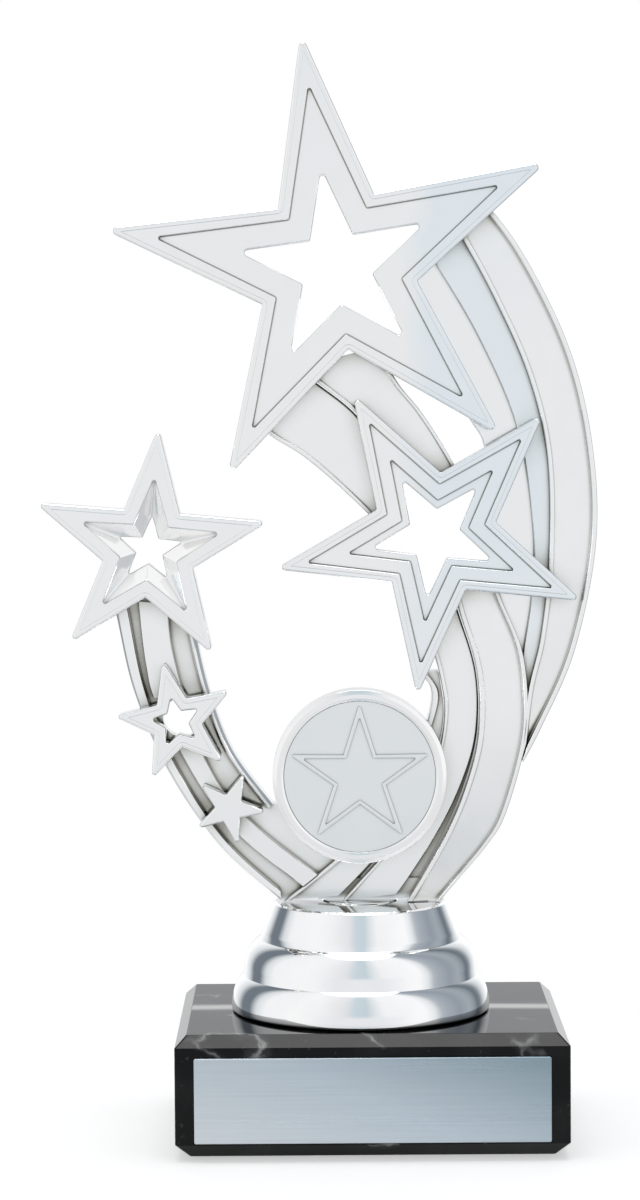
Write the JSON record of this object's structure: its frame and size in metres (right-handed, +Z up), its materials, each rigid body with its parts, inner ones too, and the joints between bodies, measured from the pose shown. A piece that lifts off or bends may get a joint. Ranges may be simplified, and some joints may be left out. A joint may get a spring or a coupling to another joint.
{
  "type": "star figure trophy",
  "caption": "Silver-plated star and ribbon figure on a short round riser, clamped to a black marble block with a blank engraving plate.",
  "frame": {"origin": "centre of the base pad's underside, on the surface that the trophy stands on", "axes": "+Z up, +X to the right seen from the engraving plate, +Y towards the back"},
  "size_m": [0.0921, 0.0508, 0.1814],
  "materials": {
    "figure_plating": "gloss",
    "riser_plating": "polished",
    "centre_disc": "satin",
    "black_marble": "polished",
    "brushed_plate": "satin",
    "zinc_steel": "satin",
    "adhesive": "matte",
    "pad_foam": "matte"
  },
  "bodies": {
    "base": {"base_pad": "pad_foam", "marble_base": "black_marble", "plate_adhesive": "adhesive", "engraving_plate": "brushed_plate", "plain_washer": "zinc_steel", "spring_washer": "zinc_steel", "hex_nut": "zinc_steel"},
    "riser": {"riser": "riser_plating"},
    "figure": {"figure_foot": "figure_plating", "clamp_stud": "zinc_steel", "crescent_back": "figure_plating", "crescent_middle_band": "figure_plating", "crescent_outer_band": "figure_plating", "upper_ribbon_left": "figure_plating", "upper_ribbon_right": "figure_plating", "lower_ribbon_left": "figure_plating", "lower_ribbon_right": "figure_plating", "hook_ribbon": "figure_plating", "sweep_back": "figure_plating", "sweep_outer_rail": "figure_plating", "sweep_centre_ribbon_upper": "figure_plating", "sweep_centre_ribbon_lower": "figure_plating", "sweep_inner_rail": "figure_plating", "big_star": "figure_plating", "medium_star": "figure_plating", "left_star": "figure_plating", "small_star": "figure_plating", "tiny_star": "figure_plating", "medallion_holder": "figure_plating", "medallion_adhesive": "adhesive", "medallion_insert": "centre_disc"}
  },
  "joints": [
    {"name": "riser_swivel", "type": "hinge", "parent": "base", "child": "riser", "pos_m": [-0.0016, 0, 0.0205], "axis": [0, 0, 1], "continuous": true},
    {"name": "figure_swivel", "type": "hinge", "parent": "riser", "child": "figure", "pos_m": [-0.0016, 0, 0.0388], "axis": [0, 0, 1], "continuous": true}
  ]
}
